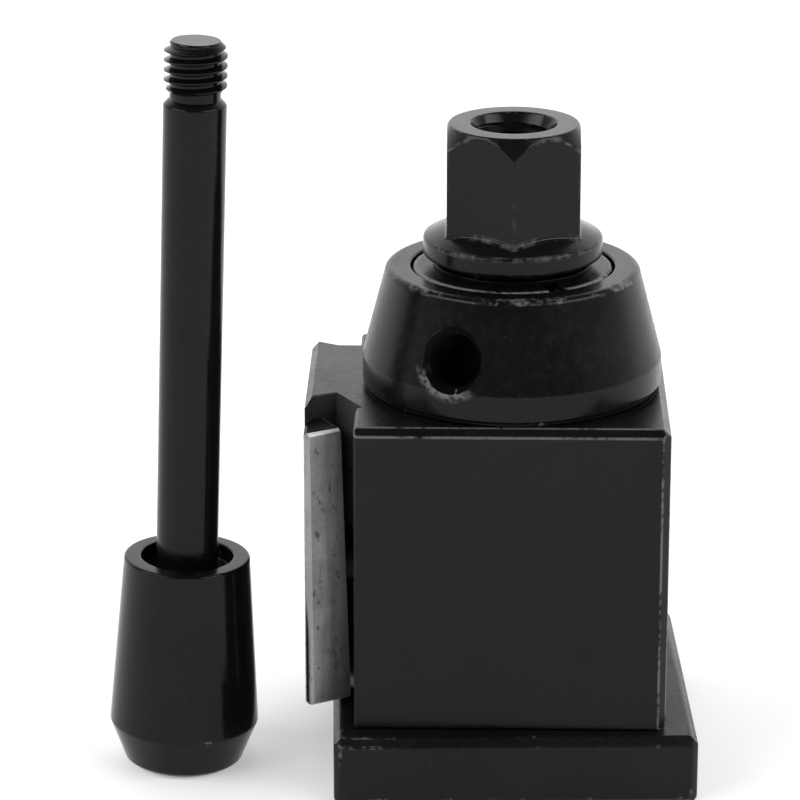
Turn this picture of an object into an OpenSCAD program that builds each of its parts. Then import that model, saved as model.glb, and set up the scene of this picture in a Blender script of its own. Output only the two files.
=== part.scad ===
// Quick change tool post: a dovetailed block on a T-nut plate, locked by a turning hub and two wedge gibs.
// The origin is the centre of the plate's bottom face, on the stud's axis. +Z is up.

/* [Base plate] */
// Width of the plate, left to right
plate_w = 46.8; // [44:0.1:60]
// Depth of the plate, front to back
plate_d = 45.8; // [44:0.1:60]
// Thickness of the plate
plate_h = 8.95; // [6:0.05:14]
// Angle of the plate under the block
plate_turn = 2.1; // [-5:0.1:5]
// Chamfer round the plate's top face
plate_edge = 1.0; // [0.3:0.1:1.5]

/* [Block] */
// Width and depth of the square block
body_w = 40.0; // [38.6:0.1:44]
// Height of the block
body_h = 40.7; // [39:0.1:46]
// Chamfer along the top of the block's two plain faces
body_edge = 1.0; // [0.3:0.1:1.2]
// Chamfer up the corners beside the plain faces
body_corner = 1.0; // [0.3:0.1:1.2]
// Chamfer along the edges of the two dovetailed faces
tail_face_edge = 0.3; // [0.2:0.05:0.5]
// Thickness of the block's floor, under the cam
floor_h = 6.0; // [4:0.5:8]
// Radius of the block's bore
bore_r = 15.45; // [15.1:0.05:16]

/* [Dovetails and gibs] */
// How far a dovetail stands out from the block
tail_h = 6.55; // [5:0.05:7]
// Distance from the block's centre plane to the neck of the fixed flank
tail_neck = 14.74; // [13:0.01:15.5]
// Angle of a dovetail flank from the face that it stands on
tail_angle = 60; // [55:1:62]
// Distance of the gib groove's floor from the block's axis
groove_floor = 22.13; // [21.5:0.01:22.6]
// Distance of the groove's rear wall from the block's axis, at the top
groove_rear = 6.94; // [6:0.01:7.5]
// Distance of the groove's front wall from the block's axis, at the top
groove_front = 0.1; // [0.05:0.05:1]
// Distance of the gib's working flank from the block's axis
gib_flank = 1.1; // [1:0.05:2]
// Distance of the gib's inner side from the block's axis, at the gib's foot
gib_inner = 23.3; // [22.8:0.05:23.8]
// Lean of the gib's inner side away from the block
gib_inner_lean = 2.0; // [1:0.1:2]
// Distance of the tip of the gib's flank from the block's axis, at the gib's foot
gib_tip = 28.66; // [28:0.02:29]
// Lean of the facet on the gib's tip
gib_tip_lean = 0.65; // [0:0.05:1]
// Chamfer round the ends of a gib
gib_edge = 0.4; // [0.2:0.05:0.8]
// Lean of the groove, which wedges the gib outwards as it rises
wedge_lean = 2.0; // [1:0.1:3]
// Length of a gib
gib_h = 37.5; // [34:0.1:37.6]
// Height of a gib above the block's underside, when released
gib_rise = 0.35; // [0.2:0.05:1.2]
// Clearance between a gib and its groove
gib_gap = 0.08; // [0.05:0.01:0.2]
// Travel of a gib from released to locked
gib_travel = 3.0; // [1:0.1:3.2]
// Turn of the hub from released to locked
hub_turn = 90; // [60:5:95]

/* [Hub] */
// Radius of the hub's band
hub_r = 19.34; // [18.5:0.02:20]
// Height of the hub's band
band_h = 3.46; // [2:0.02:5]
// Radius of the hub at the top of its cone
hub_top_r = 16.26; // [15.5:0.02:17]
// Height of the hub
hub_h = 15.26; // [14:0.02:18]
// Radius of the rounding round the hub's top
hub_rim = 1.0; // [0.3:0.1:1.2]
// Radius of the recess that holds the snap ring
recess_r = 13.15; // [12.8:0.05:14]
// Radius of the handle's tapped hole
tap_r = 3.4; // [3:0.05:4]
// Angle of the handle's hole from the front, towards the left
tap_turn = 25; // [0:1:45]
// Angular width of the gap in the snap ring
ring_gap = 12; // [6:1:20]
// Direction of the gap, from the right towards the back
ring_turn = -63; // [-180:1:180]

/* [Stud and nut] */
// Radius of the stud's thread
stud_r = 5.0; // [4:0.5:5]
// Height of the stud's top
stud_top = 77; // [72:0.5:80]
// Width of the nut across its flats
nut_flats = 17.0; // [16:0.5:18]
// Height of the nut
nut_h = 17.2; // [14:0.1:20]
// Radius of the nut's flange
flange_r = 11.54; // [11:0.02:12.5]
// Slope of the flange's top
flange_slope = 26; // [15:1:30]
// Radius of the flat ring on the nut's top
nut_ring_r = 8.3; // [8:0.05:8.4]
// Slope of the chamfers on the nut's top and in its mouth
nut_slope = 60; // [30:1:65]
// Radius of the nut's mouth
nut_mouth_r = 5.62; // [5.3:0.02:6]

/* [Handle] */
// Radius of the rod
rod_r = 4.0; // [3.5:0.05:4.2]
// Height of the handle, standing on its knob
handle_h = 96.8; // [80:0.1:130]
// Height of the knob
knob_h = 28.4; // [24:0.1:34]
// Largest radius of the knob
knob_r = 9.7; // [9:0.01:12]
// Radius of the knob's top
knob_top_r = 8.15; // [7.6:0.05:9]
// Where the handle stands, left or right of the post
handle_x = -42.9; // [-60:0.05:-42.5]
// Where the handle stands, in front of or behind the post's axis
handle_y = -8.8; // [-30:0.1:-8]
// Lean of the standing handle towards the post
handle_lean = 1.9; // [0:0.1:2.5]

/* [Hidden] */
$fn = 96;
black = [0.13, 0.13, 0.14];
steel = [0.55, 0.55, 0.56];
bronze = [0.62, 0.46, 0.24];
seat = 0.05;                          // face gap between pieces that turn on each other
fit = 0.05;                           // radial clearance of a running fit
over = 1;                             // how far a cutter runs past what it cuts
half_w = body_w / 2;
plate_foot_edge = 0.6;                // chamfers under the plate and up its corners
plate_corner = 0.8;
body_foot_edge = 0.3;
body_z = plate_h + seat * 2;
body_top = body_z + body_h;
washer_z = body_top + seat;
washer_h = 0.5;
hub_z = washer_z + washer_h + seat;
hub_top = hub_z + hub_h;
cone_h = hub_h - band_h;
cone_tilt = atan((hub_r - hub_top_r) / cone_h);
rim_steps = 4;
core_r = 10.2;                        // outside of the fixed core
core_bore = stud_r + 0.45;
core_foot_z = body_z + floor_h;
core_foot_h = 3;
core_top = hub_top + 0.6;
sleeve_bore = core_r + fit;
sleeve_r = bore_r - fit;
thrust_h = 1;
sleeve_z = core_foot_z + core_foot_h + thrust_h + seat;
sleeve_top = body_top - seat;
ring_h = 1.6;                         // snap ring, and its place in the core's groove
ring_z = hub_top - 0.1 - ring_h;
ring_edge = 0.5;
ring_r = 12.85;
ring_seat_r = 9.4;
shim_h = 0.35;
recess_z = ring_z - shim_h - 2 * seat;
dowel_r = 1.5;
dowel_h = 6.8;
dowel_z = core_foot_z - 4;
snug = 0.01;                          // gap round a pin that is pressed in
dowel_ring = 12.8;                    // radius of the circle that the dowel and drive pins sit on
drive_pin_z = sleeve_top - 6.5;
drive_pin_h = 13;
nut_z = core_top + 0.9 + seat;
nut_flange_h = 2.35;
nut_corner = nut_flats / 2 / cos(30);
nut_bore = stud_r + fit;
nut_edge = 0.3;                       // chamfers of the flange
stud_neck = stud_r - 0.3;             // the plain shank between the plate and the nut's thread
stud_thread_z = 50;
gib_z = body_z + gib_rise;
gib_pin_r = 2;
gib_pin_play = 0.2;
gib_pin_z = [27.1, 37.1];             // left and back pins, apart so that their cam tracks don't meet
gib_pin_turn = 200;                   // direction of the left gib's pin from the block's axis
gib_pin_from = 13.1;
gib_pin_to = 26.5;
track_r = [12.9, 16.2];               // inner and outer radius of a cam track's cutter
track_steps = 24;
flank_turn = 90 - tail_angle;
tail_outer = half_w + tail_h;         // distance of a dovetail's outer face from the block's axis
tail_land = 3;                        // plain root of the fixed part, before its flank begins
tail_tip = 1.0;                       // cut on the tip of the fixed flank
tail_top_edge = 0.85;
tail_foot_edge = 0.3;
tail_front = 10;                      // front of the fixed part's blank, which the groove cuts away
groove_step = [25.5, 27.55];          // where the groove's rear wall steps towards the gib
groove_step_in = 1.84;
groove_mouth = 33;                    // beyond the dovetail's outer face
groove_over = 4;                      // how far the leaning groove runs past the block's ends
tap_deep = 7.4;                       // handle's hole in the hub's cone
tap_z = 57.8;
tap_out = hub_r - (tap_z - hub_z - band_h) * tan(cone_tilt);
sink_r = 4.3;
knob_waist_z = 5.75;
knob_foot_r = 6.9;
knob_skirt = [7.7, 0.6];              // radius and height where the knob's foot turns into its skirt
knob_recess_r = 5.98;
knob_recess = 2.2;
rod_seat_z = knob_h - knob_recess - 1.5;
rod_edge = 0.65;
rod_end_edge = 0.9;
press = 0.02;                         // gap between the tenon and the knob that is pressed on it
tenon_r = 3.2;
tenon_from = 8;
thread_h = 6.5;
thread_neck = 1.0;
thread_neck_r = 3.25;
handle_lift = knob_foot_r * sin(handle_lean);

// A solid turned about Z from a list of [radius, height] points.
module turned(points) {
    rotate_extrude() polygon(points);
}

// A washer or sleeve standing on z.
module tube(outer, inner, z, height) {
    turned([[inner, z], [outer, z], [outer, z + height], [inner, z + height]]);
}

// A rectangle w wide and h high, standing on the X axis, with its corners cut by amounts in this order:
// bottom left, bottom right, top right, top left.
module cut_rectangle(w, h, cuts) {
    x = w / 2;
    polygon([[-x + cuts[0], 0], [x - cuts[1], 0], [x, cuts[1]], [x, h - cuts[2]],
        [x - cuts[2], h], [-x + cuts[3], h], [-x, h - cuts[3]], [-x, cuts[0]]]);
}

// A block whose plan, front view and side view are cut rectangles.
module eased_block(w, d, h, plan, front, side) {
    intersection() {
        linear_extrude(h) translate([0, -d / 2]) cut_rectangle(w, d, plan);
        rotate([90, 0, 0]) linear_extrude(d + over, center = true) cut_rectangle(w, h, front);
        rotate([90, 0, 90]) linear_extrude(w + over, center = true) cut_rectangle(d, h, side);
    }
}

// Carries what it draws from the left dovetail to the back one.
module at_back() {
    rotate([0, 0, -90]) children();
}

// Section of a gib groove, seen from above, along and across the flank's direction.
function groove_section(gap) = let (inner = -groove_floor - gap, rear = groove_rear - gap) [
    [inner, -groove_front], [inner, rear],
    [-groove_step[0], rear], [-groove_step[1], rear - groove_step_in],
    [-groove_mouth, rear - groove_step_in], [-groove_mouth, -groove_front]];

// The leaning prism of a groove, or with a gap, of the gib that slides in it.
module groove(gap = 0) {
    translate([0, 0, body_top]) rotate([wedge_lean, 0, 0]) translate([0, 0, -body_h - groove_over])
        rotate([0, 0, flank_turn]) linear_extrude(body_h + 2 * groove_over) polygon(groove_section(gap));
}

// The fixed part of a dovetail, on the left side.
module dovetail() {
    slope = tan(flank_turn);
    root = half_w + tail_land;
    root_in = half_w - over;
    tip = tail_neck + (tail_outer - root) * slope;
    intersection() {
        linear_extrude(body_h) polygon([[-root_in, -tail_front], [-tail_outer, -tail_front],
            [-tail_outer, tip - tail_tip], [-tail_outer + tail_tip, tip - tail_tip * slope],
            [-root, tail_neck], [-root_in, tail_neck]]);
        tail_ends(body_h, tail_top_edge, tail_foot_edge);
    }
}

// A slab that bounds a dovetail's outer face and chamfers the ends of that face.
module tail_ends(h, top, bottom) {
    rotate([90, 0, 0]) linear_extrude(2 * body_w, center = true)
        cut_rectangle(2 * tail_outer, h, [bottom, bottom, top, top]);
}

// The upright slot that lets a gib's pin reach the cam.
module pin_slot(z) {
    r = gib_pin_r + 0.4;
    rotate([0, 0, gib_pin_turn]) {
        for (rise = [0, gib_travel])
            translate([0, 0, z + rise]) rotate([0, 90, 0]) cylinder(r = r, h = gib_pin_to);
        translate([0, -r, z]) cube([gib_pin_to, 2 * r, gib_travel]);
    }
}

module t_nut_plate() {
    plate_view = [plate_foot_edge, plate_foot_edge, plate_edge, plate_edge];
    color(black) rotate([0, 0, plate_turn]) difference() {
        eased_block(plate_w, plate_d, plate_h, [for (i = [0 : 3]) plate_corner], plate_view, plate_view);
        translate([0, 0, -over]) cylinder(r = stud_r + 0.02, h = plate_h + 2 * over);
    }
}

module clamp_stud() {
    ease = 0.9;
    color(steel) turned([[0, 0], [stud_r, 0], [stud_r, plate_h - 0.5], [stud_neck, plate_h],
        [stud_neck, stud_thread_z], [stud_r, stud_thread_z + stud_r - stud_neck],
        [stud_r, stud_top - ease], [stud_r - ease, stud_top], [0, stud_top]]);
}

module body_block() {
    foot = body_foot_edge;
    color(black) difference() {
        translate([0, 0, body_z]) union() {
            eased_block(body_w, body_w, body_h, [tail_face_edge, body_corner, body_corner, tail_face_edge],
                [foot, foot, body_edge, tail_face_edge], [foot, foot, tail_face_edge, body_edge]);
            dovetail();
            at_back() dovetail();
        }
        translate([0, 0, core_foot_z]) cylinder(r = bore_r, h = body_h);
        translate([0, 0, body_z - over]) cylinder(r = core_r + fit, h = body_h);
        core_dowel_hole();
        groove();
        at_back() groove();
        pin_slot(gib_pin_z[0]);
        at_back() pin_slot(gib_pin_z[1]);
    }
}

module core_dowel_hole() {
    translate([0, dowel_ring, dowel_z - snug]) cylinder(r = dowel_r + snug, h = dowel_h + over);
}

module core_sleeve() {
    foot = core_foot_z + core_foot_h;
    color(steel) difference() {
        turned([[core_bore, body_z + seat], [core_r, body_z + seat], [core_r, core_foot_z + seat / 2],
            [sleeve_r, core_foot_z + seat / 2], [sleeve_r, foot], [core_r, foot],
            [core_r, ring_z - seat], [ring_seat_r, ring_z - seat],
            [ring_seat_r, ring_z + ring_h + seat], [core_r, ring_z + ring_h + seat],
            [core_r, core_top], [core_bore, core_top]]);
        core_dowel_hole();
    }
}

module core_dowel() {
    color(steel) translate([0, dowel_ring, dowel_z]) cylinder(r = dowel_r, h = dowel_h);
}

module cam_thrust_washer() {
    color(bronze) tube(sleeve_r, core_r + 0.02, core_foot_z + core_foot_h, thrust_h);
}

// One cam track: the path of a gib's pin across the turning sleeve, as a solid between two radii.
// A station is [angle, height, along, half_width], where along is how far past the path's end it lies.
function track_stations(turn, z) = let (r = gib_pin_r + gib_pin_play) concat(
    [for (a = [-80 : 20 : -20]) [turn, z, r * sin(a), r * cos(a)]],
    [for (i = [0 : track_steps]) let (part = i / track_steps)
        [turn + hub_turn * part, z + gib_travel * part, 0, r]],
    [for (a = [20 : 20 : 80]) [turn + hub_turn, z + gib_travel, r * sin(a), r * cos(a)]]);
function track_point(s, radius, side) = let (
        climb = atan(gib_travel / (hub_turn * PI / 180 * (track_r[0] + track_r[1]) / 2)),
        w = s[2] * cos(climb) - side * s[3] * sin(climb),
        rise = s[2] * sin(climb) + side * s[3] * cos(climb))
    [radius * cos(s[0]) - w * sin(s[0]), radius * sin(s[0]) + w * cos(s[0]), s[1] + rise];

module cam_track(turn, z) {
    stations = track_stations(turn, z);
    last = len(stations) - 1;
    points = [for (s = stations, side = [-1, 1], radius = track_r) track_point(s, radius, side)];
    // Each station gives four points: low inner, low outer, high inner, high outer.
    walls = [for (i = [0 : last - 1]) let (a = 4 * i, b = 4 * i + 4) each [
        [a, b, b + 2], [a, b + 2, a + 2],
        [a + 1, b + 3, b + 1], [a + 1, a + 3, b + 3],
        [a, a + 1, b + 1], [a, b + 1, b],
        [a + 2, b + 3, a + 3], [a + 2, b + 2, b + 3]]];
    end = 4 * last;
    caps = [[0, 2, 3], [0, 3, 1], [end, end + 1, end + 3], [end, end + 3, end + 2]];
    polyhedron(points, concat(walls, caps));
}

module cam_sleeve() {
    color(steel) difference() {
        tube(sleeve_r, sleeve_bore, sleeve_z, sleeve_top - sleeve_z);
        cam_track(gib_pin_turn, gib_pin_z[0]);
        cam_track(gib_pin_turn - 90, gib_pin_z[1]);
        drive_pins(snug);
    }
}

// The two dowels that join the hub to the cam sleeve.
module drive_pins(gap) {
    for (turn = [0, 180])
        rotate([0, 0, turn - tap_turn]) translate([dowel_ring, 0, drive_pin_z - gap])
            cylinder(r = dowel_r + gap, h = drive_pin_h + 2 * gap);
}

module hub_drive_pins() {
    color(steel) drive_pins(0);
}

module hub_washer() {
    color(black) tube(18.9, bore_r + 0.1, washer_z, washer_h);
}

// Carries what it draws to the handle's hole, with +Z running out along the hole.
module at_tap() {
    rotate([0, 0, -90 - tap_turn]) translate([tap_out, 0, tap_z]) rotate([0, 90 - cone_tilt, 0]) children();
}

module hub_cap() {
    ease = 0.4;
    spigot = sleeve_top + seat;
    rim_x = hub_top_r - hub_rim * tan((90 - cone_tilt) / 2);
    rim = [for (i = [0 : rim_steps]) let (a = cone_tilt + (90 - cone_tilt) * i / rim_steps)
        [rim_x + hub_rim * cos(a), hub_top - hub_rim + hub_rim * sin(a)]];
    color(black) difference() {
        turned(concat([[sleeve_bore, spigot], [sleeve_r, spigot], [sleeve_r, hub_z], [hub_r - ease, hub_z],
            [hub_r, hub_z + ease], [hub_r, hub_z + band_h]], rim,
            [[recess_r + ease, hub_top], [recess_r, hub_top - ease],
            [recess_r, recess_z], [sleeve_bore, recess_z]]));
        drive_pins(snug);
        at_tap() {
            translate([0, 0, -tap_deep]) cylinder(r = tap_r, h = tap_deep + 2 * over);
            translate([0, 0, tap_r - sink_r])
                cylinder(r1 = tap_r, r2 = sink_r + over, h = sink_r + over - tap_r);
        }
    }
}

module retaining_shim() {
    color(steel) tube(ring_r, core_r + 0.1, ring_z - seat - shim_h, shim_h);
}

module snap_ring() {
    inner = ring_seat_r + 0.1;
    top = ring_z + ring_h;
    color(black) rotate([0, 0, ring_turn + ring_gap / 2]) rotate_extrude(angle = 360 - ring_gap)
        polygon([[inner, ring_z], [ring_r, ring_z], [ring_r, top - ring_edge], [ring_r - ring_edge, top],
            [inner, top]]);
}

module nut_washer() {
    color(steel) tube(10, nut_bore + 0.3, core_top + seat, nut_z - core_top - 2 * seat);
}

// The cone that chamfers a nut's mouth, opening upwards at z = 0.
module nut_mouth() {
    depth = (nut_mouth_r - nut_bore) * tan(nut_slope);
    translate([0, 0, -depth]) cylinder(r1 = nut_bore, r2 = nut_mouth_r, h = depth);
}

module clamp_nut() {
    rim = nut_z + nut_flange_h;
    nut_top = nut_z + nut_h;
    flat_r = nut_flats / 2;
    skirt_top = rim + (flange_r - nut_edge - flat_r) * tan(flange_slope);
    crown_r = nut_corner + over;
    crown_drop = (crown_r - nut_ring_r) * tan(nut_slope);
    color(black) difference() {
        union() {
            turned([[0, nut_z], [flange_r - nut_edge, nut_z], [flange_r, nut_z + nut_edge],
                [flange_r, rim - nut_edge], [flange_r - nut_edge, rim], [flat_r, skirt_top], [0, skirt_top]]);
            intersection() {
                translate([0, 0, nut_z]) rotate([0, 0, 30]) cylinder(r = nut_corner, h = nut_h, $fn = 6);
                turned([[0, nut_z], [crown_r, nut_z], [crown_r, nut_top - crown_drop],
                    [nut_ring_r, nut_top], [0, nut_top]]);
            }
        }
        translate([0, 0, nut_z - over]) cylinder(r = nut_bore, h = nut_h + 2 * over);
        translate([0, 0, nut_top]) nut_mouth();
        translate([0, 0, nut_z]) mirror([0, 0, 1]) nut_mouth();
    }
}

// A gib's views: its flank and its ends' chamfers from the end of the flank, its inner side from across
// the flank, and its tip's facet from above. X runs along the flank and Y across it.
module gib_end_view() {
    rotate([90, 0, 90]) linear_extrude(2 * groove_mouth, center = true)
        polygon([[gib_flank + gib_edge, 0], [gib_flank, gib_edge], [gib_flank, gib_h - gib_edge],
            [gib_flank + gib_edge, gib_h], [groove_rear + over, gib_h], [groove_rear + over, 0]]);
}

module gib_side_view() {
    rotate([90, 0, 0]) linear_extrude(body_w, center = true)
        polygon([[-groove_mouth, 0], [-gib_inner, 0],
            [-gib_inner - gib_h * tan(gib_inner_lean), gib_h], [-groove_mouth, gib_h]]);
}

module gib_tip_view() {
    reach = 6;
    facet = 90 + flank_turn;
    rotate([0, -gib_tip_lean, 0]) translate([0, 0, -over]) linear_extrude(gib_h + 2 * over)
        polygon([[-gib_tip - over * cos(facet), gib_flank - over * sin(facet)],
            [-gib_tip + reach * cos(facet), gib_flank + reach * sin(facet)],
            [0, gib_flank + reach * sin(facet)], [0, gib_flank - over * sin(facet)]]);
}

// A gib on the left side, with a hole for its pin.
module gib(pin_z) {
    color(steel) difference() {
        intersection() {
            groove(gib_gap);
            translate([0, 0, gib_z]) rotate([0, 0, flank_turn]) intersection() {
                gib_end_view();
                gib_side_view();
                gib_tip_view();
            }
            translate([0, 0, gib_z]) tail_ends(gib_h, gib_edge, gib_edge);
        }
        gib_pin_body(pin_z, snug);
    }
}

// A gib's pin, which points at the block's axis.
module gib_pin_body(z, gap) {
    rotate([0, 0, gib_pin_turn]) translate([gib_pin_from, 0, z]) rotate([0, 90, 0])
        cylinder(r = gib_pin_r + gap, h = gib_pin_to - gib_pin_from + gap);
}

module gib_left() {
    gib(gib_pin_z[0]);
}

module gib_pin_left() {
    color(steel) gib_pin_body(gib_pin_z[0], 0);
}

module gib_back() {
    at_back() gib(gib_pin_z[1]);
}

module gib_pin_back() {
    color(steel) at_back() gib_pin_body(gib_pin_z[1], 0);
}

// Carries what it draws to where the handle stands.
module at_handle() {
    translate([handle_x, handle_y, handle_lift]) rotate([0, handle_lean, 0]) children();
}

module handle_rod() {
    shoulder = handle_h - thread_h - thread_neck;
    thread_from = shoulder + thread_neck;
    color(black) at_handle() turned([[0, tenon_from], [tenon_r, tenon_from], [tenon_r, rod_seat_z],
        [rod_r, rod_seat_z], [rod_r, shoulder - rod_edge], [rod_r - rod_edge, shoulder],
        [thread_neck_r, shoulder], [thread_neck_r, thread_from], [rod_r, thread_from + rod_r - thread_neck_r],
        [rod_r, handle_h - rod_end_edge], [rod_r - rod_end_edge, handle_h], [0, handle_h]]);
}

module handle_knob() {
    ease = 0.3;
    hole = press + tenon_r;
    mouth = press + rod_r;
    color(black) at_handle() turned([[0, 0], [knob_foot_r, 0], knob_skirt, [knob_r, knob_waist_z],
        [knob_top_r, knob_h - ease], [knob_top_r - ease, knob_h], [knob_recess_r + ease, knob_h],
        [knob_recess_r, knob_h - ease], [knob_recess_r, knob_h - knob_recess],
        [mouth, knob_h - knob_recess], [mouth, rod_seat_z], [hole, rod_seat_z],
        [hole, tenon_from - press], [0, tenon_from - press]]);
}

t_nut_plate();
clamp_stud();
body_block();
core_sleeve();
core_dowel();
cam_thrust_washer();
cam_sleeve();
hub_drive_pins();
hub_washer();
hub_cap();
retaining_shim();
snap_ring();
nut_washer();
clamp_nut();
gib_left();
gib_pin_left();
gib_back();
gib_pin_back();
handle_rod();
handle_knob();
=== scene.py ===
"""Looks for the quick change tool post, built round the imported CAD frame. Lengths are in metres."""

import math

import bmesh
import bpy
from mathutils import Matrix, Vector


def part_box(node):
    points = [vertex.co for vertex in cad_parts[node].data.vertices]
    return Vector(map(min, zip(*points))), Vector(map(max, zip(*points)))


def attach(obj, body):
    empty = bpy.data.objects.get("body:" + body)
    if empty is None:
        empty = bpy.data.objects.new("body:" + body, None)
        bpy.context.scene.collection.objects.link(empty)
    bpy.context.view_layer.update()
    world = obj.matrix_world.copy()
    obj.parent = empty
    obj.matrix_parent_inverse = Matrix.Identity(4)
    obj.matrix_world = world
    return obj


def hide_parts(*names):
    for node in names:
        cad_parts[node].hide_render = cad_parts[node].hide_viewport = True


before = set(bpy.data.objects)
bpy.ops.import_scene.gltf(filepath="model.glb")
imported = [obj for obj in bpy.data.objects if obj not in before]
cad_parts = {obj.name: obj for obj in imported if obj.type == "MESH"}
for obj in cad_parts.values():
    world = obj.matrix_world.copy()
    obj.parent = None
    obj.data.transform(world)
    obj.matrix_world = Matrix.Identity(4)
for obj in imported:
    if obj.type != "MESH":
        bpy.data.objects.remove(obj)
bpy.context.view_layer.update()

MM = 0.001
TURN = 2 * math.pi
ROUND = 192           # segments round a turned piece
THREAD_ROUND = 72     # segments round a thread
ARC_STEP = math.radians(15)
GAP = 0.05 * MM       # between pieces that turn or slide on each other


# ---------------------------------------------------------------- places taken from the frame

def low(node):
    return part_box(node)[0]


def high(node):
    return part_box(node)[1]


def radius_of(node):
    """Outer radius of a node that stands on the post's axis."""
    return high(node).y


plate_top = high("t_nut_plate").z
hub_foot = high("hub_washer").z + GAP
hub_top = high("hub_cap").z
hub_r = radius_of("hub_cap")
core_top = high("core_sleeve").z
nut_foot = low("clamp_nut").z
nut_top = high("clamp_nut").z
flange_r = radius_of("clamp_nut")
stud_top = high("clamp_stud").z
stud_r = radius_of("clamp_stud")
ring_top = high("snap_ring").z
ring_foot = low("snap_ring").z

hub_band = 3.46 * MM                # the plain band below the hub's cone
hub_cone_top_r = 16.26 * MM
hub_slope = math.atan((hub_r - hub_cone_top_r) / (hub_top - hub_foot - hub_band))
tap_turn = math.radians(25)         # the handle's hole, left of the front
tap_height = 57.8 * MM
tap_mouth_r = hub_r - (tap_height - hub_foot - hub_band) * math.tan(hub_slope)
tap_deep = 7.4 * MM
tap_r = 4.02 * MM
tap_minor_r = 3.4 * MM
m8_pitch = 1.25 * MM
core_r = 10.2 * MM                  # the core's sleeve where the hub turns on it
# The tapped hole's frame: X points down the cone, Y to the right and Z out of the hole.
tap_place = (Matrix.Rotation(-math.pi / 2 - tap_turn, 4, "Z")
             @ Matrix.Translation((tap_mouth_r, 0, tap_height))
             @ Matrix.Rotation(math.pi / 2 - hub_slope, 4, "Y"))


# ---------------------------------------------------------------- mesh helpers

def rounded(points, support=0.25 * MM):
    """Turns corners (x, y, radius, wear) into a path of (x, y, wear): a corner with a radius becomes an arc.

    An arc is fully worn unless its corner says otherwise.
    A point without wear stands close on each side of it, so that the wear and the shading stay on it."""
    path = []
    for i, (x, y, fillet, *worn) in enumerate(points):
        here = Vector((x, y))
        if not fillet or i in (0, len(points) - 1):
            path.append((x, y, 0.0))
            continue
        before = Vector(points[i - 1][:2]) - here
        after = Vector(points[i + 1][:2]) - here
        half = before.angle(after) / 2
        reach = min(fillet / math.tan(half), 0.45 * before.length, 0.45 * after.length)
        start, end = here + before.normalized() * reach, here + after.normalized() * reach
        bisector = (before.normalized() + after.normalized()).normalized()
        centre = here + bisector * reach / math.cos(half)
        path.append((*(start + before.normalized() * min(support, 0.48 * before.length - reach)), 0.0))
        steps = max(2, math.ceil((math.pi - 2 * half) / ARC_STEP))
        a, b = start - centre, end - centre
        turn = a.angle_signed(b)
        for k in range(steps + 1):
            spoke = a.copy()
            spoke.rotate(Matrix.Rotation(-turn * k / steps, 2))
            path.append((*(centre + spoke), worn[0] if worn else 1.0))
        path.append((*(end + after.normalized() * min(support, 0.48 * after.length - reach)), 0.0))
    return path


def lathe(bm, path, closed=False, start=0.0, sweep=TURN, segments=ROUND):
    """Adds the path (radius, height, wear) turned about Z. A closed path is a ring's section.

    A sweep under a full turn gets flat ends."""
    wear = bm.verts.layers.float.get("wear") or bm.verts.layers.float.new("wear")
    full = sweep > TURN - 1e-6
    count = segments if full else segments + 1
    rings = []
    for r, z, w in path:
        if r < 1e-7:
            v = bm.verts.new((0, 0, z))
            v[wear] = w
            rings.append([v] * count)
            continue
        ring = []
        for j in range(count):
            a = start + sweep * j / segments
            v = bm.verts.new((r * math.cos(a), r * math.sin(a), z))
            v[wear] = w
            ring.append(v)
        rings.append(ring)
    pairs = list(zip(rings, rings[1:])) + ([(rings[-1], rings[0])] if closed else [])
    for lower, upper in pairs:
        for j in range(segments):
            k = (j + 1) % count
            corners = [lower[j], lower[k], upper[k], upper[j]]
            unique = list(dict.fromkeys(corners))
            if len(unique) > 2:
                bm.faces.new(unique)
    if not full:
        bm.faces.new([ring[0] for ring in rings])
        bm.faces.new([ring[-1] for ring in reversed(rings)])


# Where a thread's crest ends, its root begins and its root ends, in shares of the pitch.
CREST_END, ROOT_START, ROOT_END = 0.125, 0.4375, 0.6875
# The rows of points in each turn of a thread: its corners, with one more between each two.
THREAD_ROWS = (0.0, 0.06, CREST_END, 0.28, ROOT_START, 0.56, ROOT_END, 0.84)


def thread_radius(phase, crest, root):
    """Radius of a 60 degree thread at a phase of its pitch: an eighth crest, a quarter root."""
    phase %= 1.0
    if phase < CREST_END:
        return crest
    if phase < ROOT_START:
        return crest + (root - crest) * (phase - CREST_END) / (ROOT_START - CREST_END)
    if phase < ROOT_END:
        return root
    return root + (crest - root) * (phase - ROOT_END) / (1 - ROOT_END)


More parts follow.
